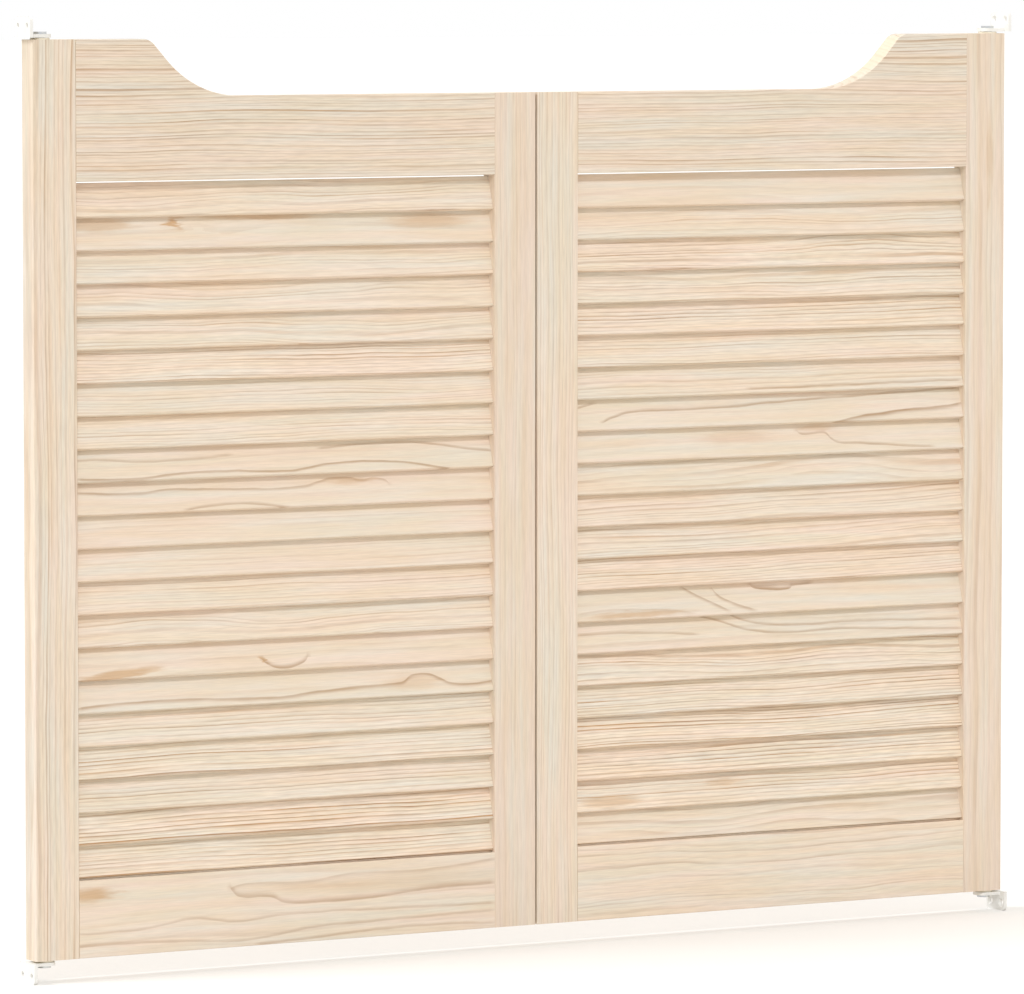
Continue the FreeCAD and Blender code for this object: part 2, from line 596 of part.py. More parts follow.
def make_bracket():
    """Lower jamb bracket: a leg flat on the jamb and an arm under the leaf, bored for the pin."""
    name = "left_bottom_bracket"
    body = new_body(name, PIVOT_X, f"{LEAF_BASE} - {ARM_FACE}")
    leg = new_sketch(body, name + "_leg_outline", "YZ_Plane", f"-{JAMB_REACH}")
    half_leg = "Sizes.bracket_leg_width / 2"
    rectangle(leg, f"-{half_leg}", "-Sizes.bracket_leg_height", "Sizes.bracket_leg_width",
              "Sizes.bracket_leg_height")
    pad(body, leg, name + "_leg", "Sizes.bracket_thickness")
    arm = new_sketch(body, name + "_arm_outline", "XY_Plane", "-Sizes.bracket_thickness")
    half_arm = "Sizes.bracket_arm_width / 2"
    rectangle(arm, f"-{JAMB_REACH}", f"-{half_arm}", f"{JAMB_REACH} + Sizes.bracket_arm_nose",
              "Sizes.bracket_arm_width")
    pad(body, arm, name + "_arm", "Sizes.bracket_thickness")

    def inner_bend(edge):
        face = f"Sizes.bracket_thickness - {JAMB_REACH}"
        low = "-Sizes.bracket_thickness"
        return all_points(edge, lambda point: near(point.x, face) and near(point.z, low))

    def leg_corner(edge):
        flat = runs_along(edge, Vector(1, 0, 0)) and edge.Length < value("2 * Sizes.bracket_thickness")
        middle = edge.CenterOfMass
        return flat and near(middle.z, "-Sizes.bracket_leg_height")

    def nose_corner(edge):
        nose = all_points(edge, lambda point: near(point.x, "Sizes.bracket_arm_nose"))
        return nose and runs_along(edge, UP)

    fillet(body, name + "_bend", inner_bend, "Sizes.bracket_bend")
    fillet(body, name + "_leg_corners", leg_corner, "Sizes.bracket_leg_corner")
    fillet(body, name + "_nose", nose_corner, "Sizes.bracket_nose_corner")

    pin_hole = new_sketch(body, name + "_pin_outline", "XY_Plane")
    circle(pin_hole, "0", "0", "Sizes.pin_diameter + 2 * Sizes.push_clearance")
    pocket(body, pin_hole, name + "_pin_hole", "Sizes.bracket_thickness")
    inner_side = f"Sizes.bracket_thickness - {JAMB_REACH}"
    screws = new_sketch(body, name + "_screw_outline", "YZ_Plane", inner_side)
    for side in ("-", ""):
        height = "Sizes.screw_margin - Sizes.bracket_leg_height"
        circle(screws, f"{side}Sizes.screw_spacing / 2", height, "Sizes.screw_hole")
    pocket(body, screws, name + "_screw_holes", "Sizes.bracket_thickness")

    def screw_rim(edge):
        round_edge = isinstance(edge.Curve, Part.Circle)
        if not (round_edge and near(edge.Curve.Radius, "Sizes.screw_hole / 2")):
            return False
        return all_points(edge, lambda point: near(point.x, inner_side))

    sink = "Sizes.screw_countersink"
    dress(body, "PartDesign::Chamfer", name + "_countersinks", screw_rim, "Size", sink)
    return body


left_leaf = [make_hinge_stile(), make_meeting_stile(), make_top_rail(), make_bottom_rail()]
left_leaf += [make_slat(number) for number in range(1, int(value("Sizes.slat_count")) + 1)]
left_leaf.append(make_dowels())
document.recompute()

bottom_bush = make_bush()
top_bush = mirrored(bottom_bush, "left_top_bush", UP, MID_HEIGHT)
left_leaf.append(group("left_pivot_bushes", [bottom_bush, top_bush]))
right_leaf = [mirrored(piece, piece.Label.replace("left_", "right_", 1)) for piece in left_leaf]

left_bottom_bracket = make_bracket()
left_top_bracket = mirrored(left_bottom_bracket, "left_top_bracket", UP, MID_HEIGHT)
right_bottom_bracket = mirrored(left_bottom_bracket, "right_bottom_bracket")
right_top_bracket = mirrored(left_top_bracket, "right_top_bracket")
left_pins = [make_bottom_pin(), mirrored(make_short_pin(), "left_top_pin", UP, MID_HEIGHT)]
right_pins = [mirrored(pin, pin.Label.replace("left_", "right_", 1)) for pin in left_pins]
left_spring = make_spring()
right_spring = mirrored(left_spring, "right_return_spring")
hardware = [left_bottom_bracket, left_top_bracket, right_bottom_bracket, right_top_bracket]
hardware.append(group("pivot_pins", left_pins + right_pins))
hardware.append(group("return_springs", [left_spring, right_spring]))
document.recompute()

failed = [item.Name for item in document.Objects if {"Invalid", "Error"} & set(item.State)]
if failed:
    raise RuntimeError("objects in error: " + ", ".join(failed))
pieces = left_leaf + right_leaf + hardware
for piece in pieces:
    if piece.Shape.isNull() or not piece.Shape.isValid() or not piece.Shape.Solids:
        raise RuntimeError("no sound solid: " + piece.Label)

os.makedirs("parts", exist_ok=True)
for piece in pieces:
    piece.Shape.exportStep(f"parts/{piece.Label}.step")
print(len(pieces), "pieces,", sum(len(piece.Shape.Solids) for piece in pieces), "solids")
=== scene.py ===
"""Looks of the louvred cafe doors: bare pine leaves on white powder-coated jamb brackets.

Metres, +X along the doorway, the leaves' fronts face -Y, +Z is up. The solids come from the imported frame.
Each board's pattern is worked out in the board's own millimetres: x along its grain, y across its face
and z from the middle of its thickness towards its front.
"""
import json
import math
import random

import bmesh
import bpy
from mathutils import Matrix, Vector


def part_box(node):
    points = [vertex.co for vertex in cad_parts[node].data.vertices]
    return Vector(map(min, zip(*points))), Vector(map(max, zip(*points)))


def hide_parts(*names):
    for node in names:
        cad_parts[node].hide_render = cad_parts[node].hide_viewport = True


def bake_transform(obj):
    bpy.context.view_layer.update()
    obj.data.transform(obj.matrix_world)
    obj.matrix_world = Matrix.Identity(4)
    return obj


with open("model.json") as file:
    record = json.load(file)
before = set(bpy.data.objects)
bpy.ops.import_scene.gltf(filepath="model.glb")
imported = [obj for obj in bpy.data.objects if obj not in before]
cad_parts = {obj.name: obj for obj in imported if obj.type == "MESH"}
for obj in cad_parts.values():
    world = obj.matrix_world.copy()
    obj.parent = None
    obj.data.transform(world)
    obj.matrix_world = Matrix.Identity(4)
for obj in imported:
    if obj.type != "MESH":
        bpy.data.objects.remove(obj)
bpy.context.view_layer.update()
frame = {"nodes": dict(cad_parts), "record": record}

MM_PER_M = 1000
SLAT_LEAN = math.radians(18)  # top to the back

# Pine's colours, bare and freshly planed.
EARLYWOOD_CREAM = "#EEE0CF"
EARLYWOOD_PEACH = "#EFDCCA"
EARLYWOOD_ASH = "#E8E0D1"
HEARTWOOD_HONEY = "#E9D2AC"
LATEWOOD_GREY = "#AF8C6C"
LATEWOOD_OCHRE = "#BA8F62"
TRACE_BROWN = "#AE8964"
RESIN_TINT = "#D2AE86"
# End grain's own chalky colour, painted paler as a highlight.
END_GRAIN_AND_HIGHLIGHT = "#ECDDC2"

# What a trace's curve covers along and across a board, in mm.
CURVE_LENGTH = 500
CURVE_HEIGHT = 100

# The room: a pale floor that the camera sees as white, and soft even light. A lamp's level is what a
# white face square to it would show.
KEY_LEVEL = 0.35
SIDE_LEVEL = 0.465
LAMP_DAYLIGHT = "#EDF5FF"
ROOM_BOUNCE = (0.745, 0.695, 0.64, 1.0)  # linear light, warmed by the wood
FLOOR_PAINT = "#E4E2DE"
FLOOR_GLOW = 0.2  # what the paint needs to look white
FLOOR_REACH = 60.0  # from the middle to each edge, far out of view

# A long lens, from the front left and a little above the leaves.
CAMERA_PLACE = (-3.2438, -5.7075, 0.8965)
CAMERA_TURN = 29.464  # degrees to the right of straight at the doorway
CAMERA_DIP = 4.273  # degrees below level
CAMERA_LENS = 257.2  # mm
CAMERA_SENSOR = 36.0  # mm wide


def linear(colour):
    """sRGB hex as linear RGBA."""
    channels = [int(colour[i:i + 2], 16) / 255 for i in (1, 3, 5)]
    return [c / 12.92 if c <= 0.04045 else ((c + 0.055) / 1.055) ** 2.4 for c in channels] + [1.0]


def grey(level):
    """Linear RGBA of a neutral grey."""
    return (level, level, level, 1.0)


def join(tree, given, socket):
    """Set a value on an input, or link to it a socket, or the first output that a node has in use."""
    if isinstance(given, bpy.types.Node):
        given = next(output for output in given.outputs if output.enabled)
    if isinstance(given, bpy.types.NodeSocket):
        tree.links.new(given, socket)
    else:
        socket.default_value = given


def add(tree, kind, links=(), stops=(), **settings):
    """Add a node with its settings and its links.

    links gives its inputs, as a list in the order of those in use or as a dict by name. stops are the
    (position, RGBA) pairs of a colour ramp.
    """
    node = tree.nodes.new(kind)
    for name, setting in settings.items():
        setattr(node, name, setting)
    if isinstance(links, dict):
        pairs = [(node.inputs[name], given) for name, given in links.items()]
    else:
        pairs = zip([socket for socket in node.inputs if socket.enabled], links)
    for socket, given in pairs:
        join(tree, given, socket)
    for _ in stops[2:]:
        node.color_ramp.elements.new(0.5)
    for number, (position, colour) in enumerate(stops):
        node.color_ramp.elements[number].position = position
        node.color_ramp.elements[number].color = colour
    return node


def new_material(name):
    """Empty material with a shader, and its node tree."""
    material = bpy.data.materials.new(name)
    material.use_nodes = True
    return material, material.node_tree, material.node_tree.nodes["Principled BSDF"]


def surface(tree, shader, colour, roughness, relief, strength, height):
    """Join a finish's colour, roughness and relief to its shader; height is the relief's, in mm."""
    bump = add(tree, "ShaderNodeBump", {
        "Strength": strength, "Distance": height / MM_PER_M, "Height": relief})
    join(tree, colour, shader.inputs["Base Color"])
    join(tree, roughness, shader.inputs["Roughness"])
    join(tree, bump, shader.inputs["Normal"])


class Mark:
    """Oval stain a branch left near a board's face, in the board's millimetres and degrees.

    lift pushes the grain lines up round it and tint fills it with resin's ochre.
    """

    depth = 40  # as deep as the board or deeper

    def __init__(self, along, over, length, height, tilt=0, lift=0, tint=0):
        self.place = (along, over, 0)
        self.reach = (length, height, self.depth)
        self.tilt = math.radians(tilt)
        self.lift = lift
        self.tint = tint


class Trace:
    """Edge of one wide ring on a board's face: a smooth line through (along, over) points in mm.

    dark is the strength of its brown, which fades over soft mm on its upper side, or on its lower side if
    soft is negative.
    """

    def __init__(self, points, dark=0.6, soft=3.0):
        self.points = points
        self.dark = dark
        self.soft = soft


class Board:
    """How one board was cut from its log, in the board's own millimetres.

    grain is level or upright. rings is the width of a year's growth. The pith lies across mm up or down the
    face and behind mm below it, and is turned from the board's length by skew degrees in the face. sway is
    how far the grain wanders. contrast is how dark the lines are. tone leans the board's colour towards
    peach, or towards ash if negative, and shade multiplies all of it. marks and traces are what its face
    shows besides.
    """

    def __init__(self, name, grain, rings, across, behind, skew=0.0, sway=2.0, contrast=0.7, tone=0.0,
                 shade=1.0, marks=(), traces=()):
        low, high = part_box(name)
        self.name = name
        self.dice = random.Random(name)
        self.centre = (Vector(low) + Vector(high)) / 2
        self.rings = rings
        self.across = across * self.dice.choice((-1, 1))
        self.behind = behind
        self.turn = (0.0, 0.0, math.radians(skew))
        self.sway = sway
        self.contrast = contrast
        self.tone = tone
        self.shade = shade
        self.phase = self.dice.random()
        self.marks = marks
        self.traces = traces
        lean = SLAT_LEAN if "slat" in name else 0.0
        out = Vector((0, -math.cos(lean), math.sin(lean)))
        up = Vector((0, math.sin(lean), math.cos(lean)))
        right = Vector((1, 0, 0))
        self.axes = Matrix((right, up, out) if grain == "level" else (up, -right, out))


def board_coordinates(tree, board):
    """Object coordinates turned into the board's own millimetres."""
    place = add(tree, "ShaderNodeTexCoord")
    shift = board.axes @ board.centre * -MM_PER_M
    return add(tree, "ShaderNodeMapping", {
        "Vector": place.outputs["Object"], "Location": shift,
        "Rotation": board.axes.to_euler(), "Scale": (MM_PER_M,) * 3})


def streaks(tree, place, length, width, detail=2.0, roughness=0.5):
    """Noise drawn out along the grain; length and width are its features' size, in place's unit."""
    squeezed = add(tree, "ShaderNodeVectorMath", [place, (1 / length, 1 / width, 1 / width)],
                   operation="MULTIPLY")
    return add(tree, "ShaderNodeTexNoise", {
        "Vector": squeezed, "Scale": 1.0, "Detail": detail, "Roughness": roughness})


def wandered(tree, place, noise, reach):
    """place moved by the noise's colour, up to about reach mm on each axis."""
    centred = add(tree, "ShaderNodeVectorMath", [noise.outputs["Color"], (0.5, 0.5, 0.5)],
                  operation="SUBTRACT")
    return add(tree, "ShaderNodeVectorMath", [centred, reach, place], operation="MULTIPLY_ADD")


def branch_marks(tree, board, place, own):
    """What a board's marks add: mm to the rings' radius, and strength of the tint."""
    lift, tint = 0.0, 0.0
    if not board.marks:
        return lift, tint
    ragged = wandered(tree, place, streaks(tree, own, length=20, width=3, detail=3.0), (40, 6, 0))
    for mark in board.marks:
        spot = add(tree, "ShaderNodeMapping", {
            "Vector": ragged, "Location": mark.place, "Rotation": (0, 0, mark.tilt), "Scale": mark.reach},
            vector_type="TEXTURE")
        if mark.lift:
            # A smooth hump, highest at the mark's middle.
            squared = add(tree, "ShaderNodeVectorMath", [spot, spot], operation="DOT_PRODUCT")
            fall = add(tree, "ShaderNodeMath", [squared, -1.0], operation="MULTIPLY")
            hump = add(tree, "ShaderNodeMath", [fall], operation="EXPONENT")
            lift = add(tree, "ShaderNodeMath", [
                hump, math.copysign(1, board.across) * mark.lift, lift], operation="MULTIPLY_ADD")
        if mark.tint:
            distance = add(tree, "ShaderNodeVectorMath", [spot], operation="LENGTH")
            inside = add(tree, "ShaderNodeMapRange", [distance, 1.15, 0.3, 0.0, mark.tint],
                         interpolation_type="SMOOTHSTEP")
            tint = add(tree, "ShaderNodeMath", [inside, tint], operation="MAXIMUM")
    return lift, tint


def draw_trace(tree, trace, axes, fraction, raised, brown):
    """brown with one more trace: a line sharp on one side and soft on the other, faded at its ends."""
    curve = add(tree, "ShaderNodeFloatCurve", {"Value": fraction})
    dots = curve.mapping.curves[0].points
    for _ in trace.points[2:]:
        dots.new(0.5, 0.5)
    curve.mapping.extend = "HORIZONTAL"
    for dot, (along, over) in zip(dots, trace.points):
        dot.location = (along / CURVE_LENGTH + 0.5, over / CURVE_HEIGHT + 0.5)
    curve.mapping.update()

    # The brown comes up within 1 mm on the sharp side, and fades out on the soft one and past both ends.
    above = add(tree, "ShaderNodeMath", [curve, -CURVE_HEIGHT, raised], operation="MULTIPLY_ADD")
    inwards = add(tree, "ShaderNodeMath", [above, math.copysign(1, trace.soft)], operation="MULTIPLY")
    sharp = add(tree, "ShaderNodeMapRange", [inwards, -1.0, 0.0, 0.0, 1.0], interpolation_type="SMOOTHSTEP")
    fade = add(tree, "ShaderNodeMapRange", [inwards, 0.8, abs(trace.soft), 1.0, 0.0])
    faded = add(tree, "ShaderNodeMath", [fade, 1.5], operation="POWER")
    edge = add(tree, "ShaderNodeMath", [sharp, faded], operation="MULTIPLY")
    start, end = trace.points[0][0], trace.points[-1][0]
    half = (end - start) / 2
    off = add(tree, "ShaderNodeMath", [axes.outputs["X"], (start + end) / 2], operation="SUBTRACT")
    away = add(tree, "ShaderNodeMath", [off], operation="ABSOLUTE")
    reach = add(tree, "ShaderNodeMapRange", [away, half - 4, half + 4, trace.dark, 0.0])
    return add(tree, "ShaderNodeMath", [edge, reach, brown], operation="MULTIPLY_ADD")


def ring_traces(tree, board, place, own):
    """Strength of the brown of a board's traced rings."""
    brown = 0.0
    if not board.traces:
        return brown
    shaken = wandered(tree, place, streaks(tree, own, length=26, width=8), (0, 2, 0))
    axes = add(tree, "ShaderNodeSeparateXYZ", [shaken])
    fraction = add(tree, "ShaderNodeMath", [axes.outputs["X"], 1 / CURVE_LENGTH, 0.5],
                   operation="MULTIPLY_ADD")
    raised = add(tree, "ShaderNodeMath", [axes.outputs["Y"], CURVE_HEIGHT / 2], operation="ADD")
    for trace in board.traces:
        brown = draw_trace(tree, trace, axes, fraction, raised, brown)
    uneven = add(tree, "ShaderNodeMapRange", [streaks(tree, own, length=60, width=5), 0.35, 0.6, 0.75, 1.1])
    return add(tree, "ShaderNodeMath", [brown, uneven], operation="MULTIPLY", use_clamp=True)


def latewood_lines(tree, board, place, own, lift):
    """Strength of the dark lines that the years' rings draw where the board is cut."""
    # Years of growth round the pith, counted outwards.
    reach = 7 * board.sway  # noise strays by about a seventh of its range
    bend = streaks(tree, own, length=170, width=45, detail=3.0, roughness=0.35)
    from_pith = add(tree, "ShaderNodeMapping", {
        "Vector": wandered(tree, place, bend, (0, reach, reach)),
        "Location": (0, board.across, -board.behind), "Rotation": board.turn}, vector_type="TEXTURE")
    flat = add(tree, "ShaderNodeVectorMath", [from_pith, (0, 1, 1)], operation="MULTIPLY")
    radius = add(tree, "ShaderNodeVectorMath", [flat], operation="LENGTH")
    lifted = add(tree, "ShaderNodeMath", [radius, lift], operation="ADD")
    count = add(tree, "ShaderNodeMath", [lifted, 1 / board.rings, board.phase], operation="MULTIPLY_ADD")

    # Some years are wide and some narrow.
    weather = add(tree, "ShaderNodeTexNoise", {"W": count, "Scale": 0.5, "Detail": 1.0},
                  noise_dimensions="1D")
    uneven = add(tree, "ShaderNodeMath", [weather, 0.5], operation="SUBTRACT")
    years = add(tree, "ShaderNodeMath", [uneven, 1.3, count], operation="MULTIPLY_ADD")
    season = add(tree, "ShaderNodeMath", [years], operation="FRACT")
    year = add(tree, "ShaderNodeMath", [years], operation="FLOOR")

    # A ring darkens slowly outwards to its latewood line and starts pale again at once.
    line = add(tree, "ShaderNodeValToRGB", [season], stops=[
        (0.0, grey(0.7)), (0.06, grey(0.12)), (0.14, grey(0)), (0.45, grey(0.07)), (0.68, grey(0.3)),
        (0.86, grey(0.95)), (0.94, grey(1))])

    # Some years' lines are darker than others, and each comes and goes along the grain in its own way,
    # from noise that is 31 mm further on.
    luck = add(tree, "ShaderNodeTexWhiteNoise", {"W": year}, noise_dimensions="1D")
    vigour = add(tree, "ShaderNodeMapRange", [luck, 0.0, 1.0, 0.25, 1.0])
    step = add(tree, "ShaderNodeCombineXYZ", [0.0, 0.0, year])
    own_year = add(tree, "ShaderNodeVectorMath", [step, (0, 0, 31), own], operation="MULTIPLY_ADD")
    come_and_go = add(tree, "ShaderNodeMapRange", [
        streaks(tree, own_year, length=130, width=12), 0.36, 0.62, 0.3, 1.0])
    strength = add(tree, "ShaderNodeMath", [vigour, come_and_go], operation="MULTIPLY")
    drawn = add(tree, "ShaderNodeMath", [line, strength], operation="MULTIPLY")
    return add(tree, "ShaderNodeMath", [drawn, board.contrast], operation="MULTIPLY")


def wood_colour(tree, board, own, latewood, tint, brown):
    """Long soft zones of ashen, creamy and peach earlywood, in places honey with resin, and its lines."""
    zone = add(tree, "ShaderNodeMath", [streaks(tree, own, length=220, width=14, detail=3.0), board.tone],
               operation="ADD")
    early = add(tree, "ShaderNodeValToRGB", [zone], stops=[
        (0.36, linear(EARLYWOOD_ASH)), (0.5, linear(EARLYWOOD_CREAM)), (0.62, linear(EARLYWOOD_PEACH))])
    resin = add(tree, "ShaderNodeMapRange", [
        streaks(tree, own, length=120, width=10), 0.35, 0.65, 0.0, 0.35])
    late = add(tree, "ShaderNodeValToRGB", [streaks(tree, own, length=160, width=7)], stops=[
        (0.4, linear(LATEWOOD_GREY)), (0.6, linear(LATEWOOD_OCHRE))])
    layers = [(resin, linear(HEARTWOOD_HONEY)), (latewood, late), (tint, linear(RESIN_TINT)),
              (brown, linear(TRACE_BROWN))]
    wood = early
    for amount, colour in layers:
        wood = add(tree, "ShaderNodeMix", [amount, wood, colour], data_type="RGBA")
    return wood


def pine(board):
    """Bare planed pine: soft pale earlywood, thin firmer latewood lines, fine silky fibres."""
    material, tree, shader = new_material("bare_pine_" + board.name)
    place = board_coordinates(tree, board)
    # Each board takes its noise from somewhere else, in mm.
    shift = [board.dice.uniform(-900, 900) for _ in range(3)]
    own = add(tree, "ShaderNodeVectorMath", [place, shift], operation="ADD")
    lift, tint = branch_marks(tree, board, place, own)
    brown = ring_traces(tree, board, place, own)
    latewood = latewood_lines(tree, board, place, own, lift)
    wood = wood_colour(tree, board, own, latewood, tint, brown)

    # Fibres are 0.03 mm wide; they are drawn as streaks of 1 mm so that they show. A board with bold
    # lines has bold fibres too, and paler wood between them.
    fibre = streaks(tree, own, length=18, width=1.0)
    middle = 0.963 + 0.042 * board.contrast
    spread = 0.03 + 0.055 * board.contrast
    silk = add(tree, "ShaderNodeMapRange", [
        fibre, 0.3, 0.7, (middle - spread) * board.shade, (middle + spread) * board.shade])
    silky = add(tree, "ShaderNodeVectorMath", [wood, silk], operation="SCALE")

    # Sanded across the fibres the wood is chalkier. There its colour is also painted paler and its lines
    # fainter: a painted highlight of the lit end grain.
    normal = add(tree, "ShaderNodeTexCoord").outputs["Normal"]
    facing = add(tree, "ShaderNodeVectorMath", [normal, board.axes[0]], operation="DOT_PRODUCT")
    endwise = add(tree, "ShaderNodeMath", [facing], operation="ABSOLUTE")
    cut = add(tree, "ShaderNodeMapRange", [endwise, 0.2, 0.8, 0.0, 0.85])
    colour = add(tree, "ShaderNodeMix", [cut, silky, linear(END_GRAIN_AND_HIGHLIGHT)], data_type="RGBA")

    # Latewood is denser and a little smoother, and stands a hair proud of the earlywood.
    roughness = add(tree, "ShaderNodeMapRange", [latewood, 0.0, 0.6, 0.64, 0.5])
    relief = add(tree, "ShaderNodeMath", [fibre, 0.5, latewood], operation="MULTIPLY_ADD")
    shader.inputs["IOR"].default_value = 1.5
    surface(tree, shader, colour, roughness, relief, strength=0.6, height=0.12)
    return material


def beech():
    """Turned beech dowel rod: even pinkish tan, with the short dark flecks of its rays."""
    material, tree, shader = new_material("turned_beech")
    place = add(tree, "ShaderNodeTexCoord").outputs["Object"]
    # The flecks are half a millimetre wide; they are drawn 1.2 mm wide so that they show.
    fleck = streaks(tree, place, length=12 / MM_PER_M, width=1.2 / MM_PER_M)
    colour = add(tree, "ShaderNodeValToRGB", [fleck], stops=[
        (0.35, linear("#B98A5E")), (0.5, linear("#D8B088")), (0.7, linear("#E0BD97"))])
    roughness = add(tree, "ShaderNodeMapRange", [fleck, 0.3, 0.7, 0.65, 0.5])
    shader.inputs["IOR"].default_value = 1.5
    surface(tree, shader, colour, roughness, fleck, strength=0.5, height=0.1)
    return material


def powder_coat():
    """White polyester powder coat baked on steel: satin, with the faint dimples of orange peel."""
    material, tree, shader = new_material("white_powder_coat")
    place = add(tree, "ShaderNodeTexCoord").outputs["Object"]
    # The dimples are 0.8 mm wide; they are drawn 1.6 mm wide so that they show.
    peel = add(tree, "ShaderNodeTexNoise", {"Vector": place, "Scale": MM_PER_M / 1.6, "Detail": 2.0})
    cloud = add(tree, "ShaderNodeTexNoise", {"Vector": place, "Scale": MM_PER_M / 14, "Detail": 3.0})
    colour = add(tree, "ShaderNodeValToRGB", [cloud], stops=[
        (0.35, linear("#EDECE7")), (0.65, linear("#F3F2EE"))])
    roughness = add(tree, "ShaderNodeMapRange", [peel, 0.3, 0.7, 0.36, 0.5])
    shader.inputs["IOR"].default_value = 1.52
    surface(tree, shader, colour, roughness, peel, strength=0.35, height=0.08)
    return material


def zinc_plate():
    """Bright zinc plate on a turned steel pin: cool grey metal ringed by the lathe's fine marks."""
    material, tree, shader = new_material("bright_zinc_plate")
    place = add(tree, "ShaderNodeTexCoord").outputs["Object"]
    # The lathe's feed is 0.15 mm a turn; its rings are drawn 0.6 mm apart so that they show.
    turning = add(tree, "ShaderNodeMapping", {"Vector": place, "Scale": (30, 30, MM_PER_M / 0.6)})
    marks = add(tree, "ShaderNodeTexNoise", {"Vector": turning, "Scale": 1.0, "Detail": 1.0})
    bloom = add(tree, "ShaderNodeTexNoise", {"Vector": place, "Scale": MM_PER_M / 5, "Detail": 3.0})
    colour = add(tree, "ShaderNodeValToRGB", [bloom], stops=[
        (0.35, linear("#BFC3C9")), (0.65, linear("#D2D3D0"))])
    roughness = add(tree, "ShaderNodeMapRange", [marks, 0.3, 0.7, 0.22, 0.38])
    shader.inputs["Metallic"].default_value = 1.0
    surface(tree, shader, colour, roughness, marks, strength=0.4, height=0.04)
    return material


def nylon():
    """Natural moulded nylon: milky ivory, faintly waxy, with a fine matt mould skin."""
    material, tree, shader = new_material("natural_nylon")
    place = add(tree, "ShaderNodeTexCoord").outputs["Object"]
    # The mould's spark-eroded skin is 0.05 mm fine; it is drawn 0.7 mm wide so that it shows.
    skin = add(tree, "ShaderNodeTexNoise", {"Vector": place, "Scale": MM_PER_M / 0.7, "Detail": 2.0})
    flow = add(tree, "ShaderNodeTexNoise", {"Vector": place, "Scale": MM_PER_M / 9, "Detail": 2.0})
    colour = add(tree, "ShaderNodeValToRGB", [flow], stops=[
        (0.35, linear("#E6DFCC")), (0.65, linear("#EEE8D8"))])
    roughness = add(tree, "ShaderNodeMapRange", [skin, 0.3, 0.7, 0.4, 0.52])
    shader.inputs["IOR"].default_value = 1.53
    surface(tree, shader, colour, roughness, skin, strength=0.3, height=0.04)
    return material


def spring_wire():
    """Drawn spring steel wire, oiled: dark blue-grey metal with the die's faint scores."""
    material, tree, shader = new_material("drawn_spring_steel")
    place = add(tree, "ShaderNodeTexCoord").outputs["Object"]
    # The scores are finer than 0.05 mm; they are drawn 0.8 mm wide so that they show.
    score = add(tree, "ShaderNodeTexNoise", {"Vector": place, "Scale": MM_PER_M / 0.8, "Detail": 3.0})
    colour = add(tree, "ShaderNodeValToRGB", [score], stops=[
        (0.35, linear("#6E7073")), (0.65, linear("#8C8D8F"))])
    roughness = add(tree, "ShaderNodeMapRange", [score, 0.3, 0.7, 0.25, 0.42])
    shader.inputs["Metallic"].default_value = 1.0
    surface(tree, shader, colour, roughness, score, strength=0.3, height=0.03)
    return material


def wear(name, material):
    """Give a node's object a material in all its slots."""
    for slot in frame["nodes"][name].material_slots:
        slot.material = material


def new_object(name, shape, material):
    """Object of a bmesh in one material; the bmesh is used up."""
    mesh = bpy.data.meshes.new(name)
    shape.to_mesh(mesh)
    shape.free()
    mesh.materials.clear()
    mesh.materials.append(material)
    item = bpy.data.objects.new(name, mesh)
    bpy.context.scene.collection.objects.link(item)
    return item


def wind_spring(side, steel):
    """One return spring as its own piece: the half of the pair that lies on its side of the doorway."""
    coil = bmesh.new()
    coil.from_mesh(frame["nodes"]["return_springs"].data)
    others = [vertex for vertex in coil.verts if (vertex.co.x < 0) != (side == "left")]
    bmesh.ops.delete(coil, geom=others, context="VERTS")
    spring = new_object(side + "_return_spring", coil, steel)
    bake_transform(spring)
    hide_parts("return_springs")


def seen(tree):
    """1 for a ray that shows the room to the camera, straight, reflected or through glass, else 0."""
    rays = add(tree, "ShaderNodeLightPath")
    shown = add(tree, "ShaderNodeMath", [
        rays.outputs["Is Camera Ray"], rays.outputs["Is Glossy Ray"]], operation="MAXIMUM")
    return add(tree, "ShaderNodeMath", [shown, rays.outputs["Is Transmission Ray"]], operation="MAXIMUM")


def make_floor():
    """Pale matt floor; its own glow, only for the rays that show it, takes it up to white."""
    material, tree, shader = new_material("pale_matt_floor")
    shader.inputs["Base Color"].default_value = linear(FLOOR_PAINT)
    shader.inputs["Roughness"].default_value = 0.9
    shader.inputs["Emission Color"].default_value = grey(1)
    glow = add(tree, "ShaderNodeMath", [seen(tree), FLOOR_GLOW], operation="MULTIPLY")
    join(tree, glow, shader.inputs["Emission Strength"])
    sheet = bmesh.new()
    bmesh.ops.create_grid(sheet, x_segments=1, y_segments=1, size=FLOOR_REACH)
    new_object("floor", sheet, material)


def make_world():
    """Even white room: dimmer as a light than it looks to the camera and in reflections."""
    world = bpy.data.worlds.new("studio")
    world.use_nodes = True
    tree = world.node_tree
    colour = add(tree, "ShaderNodeMix", [seen(tree), ROOM_BOUNCE, grey(1)], data_type="RGBA")
    join(tree, colour, tree.nodes["Background"].inputs["Color"])
    bpy.context.scene.world = world


def make_lamp(name, azimuth, elevation, softness, level):
    """Far, even lamp; azimuth turns from the front to the left and softness is its width, in degrees."""
    turn, lift = math.radians(azimuth), math.radians(elevation)
    towards = Vector((-math.sin(turn) * math.cos(lift), -math.cos(turn) * math.cos(lift), math.sin(lift)))
    lamp = bpy.data.lights.new(name, "SUN")
    lamp.energy = level * math.pi
    lamp.color = linear(LAMP_DAYLIGHT)[:3]
    lamp.angle = math.radians(softness)
    item = bpy.data.objects.new(name, lamp)
    item.rotation_euler = towards.to_track_quat("Z", "Y").to_euler()
    bpy.context.scene.collection.objects.link(item)


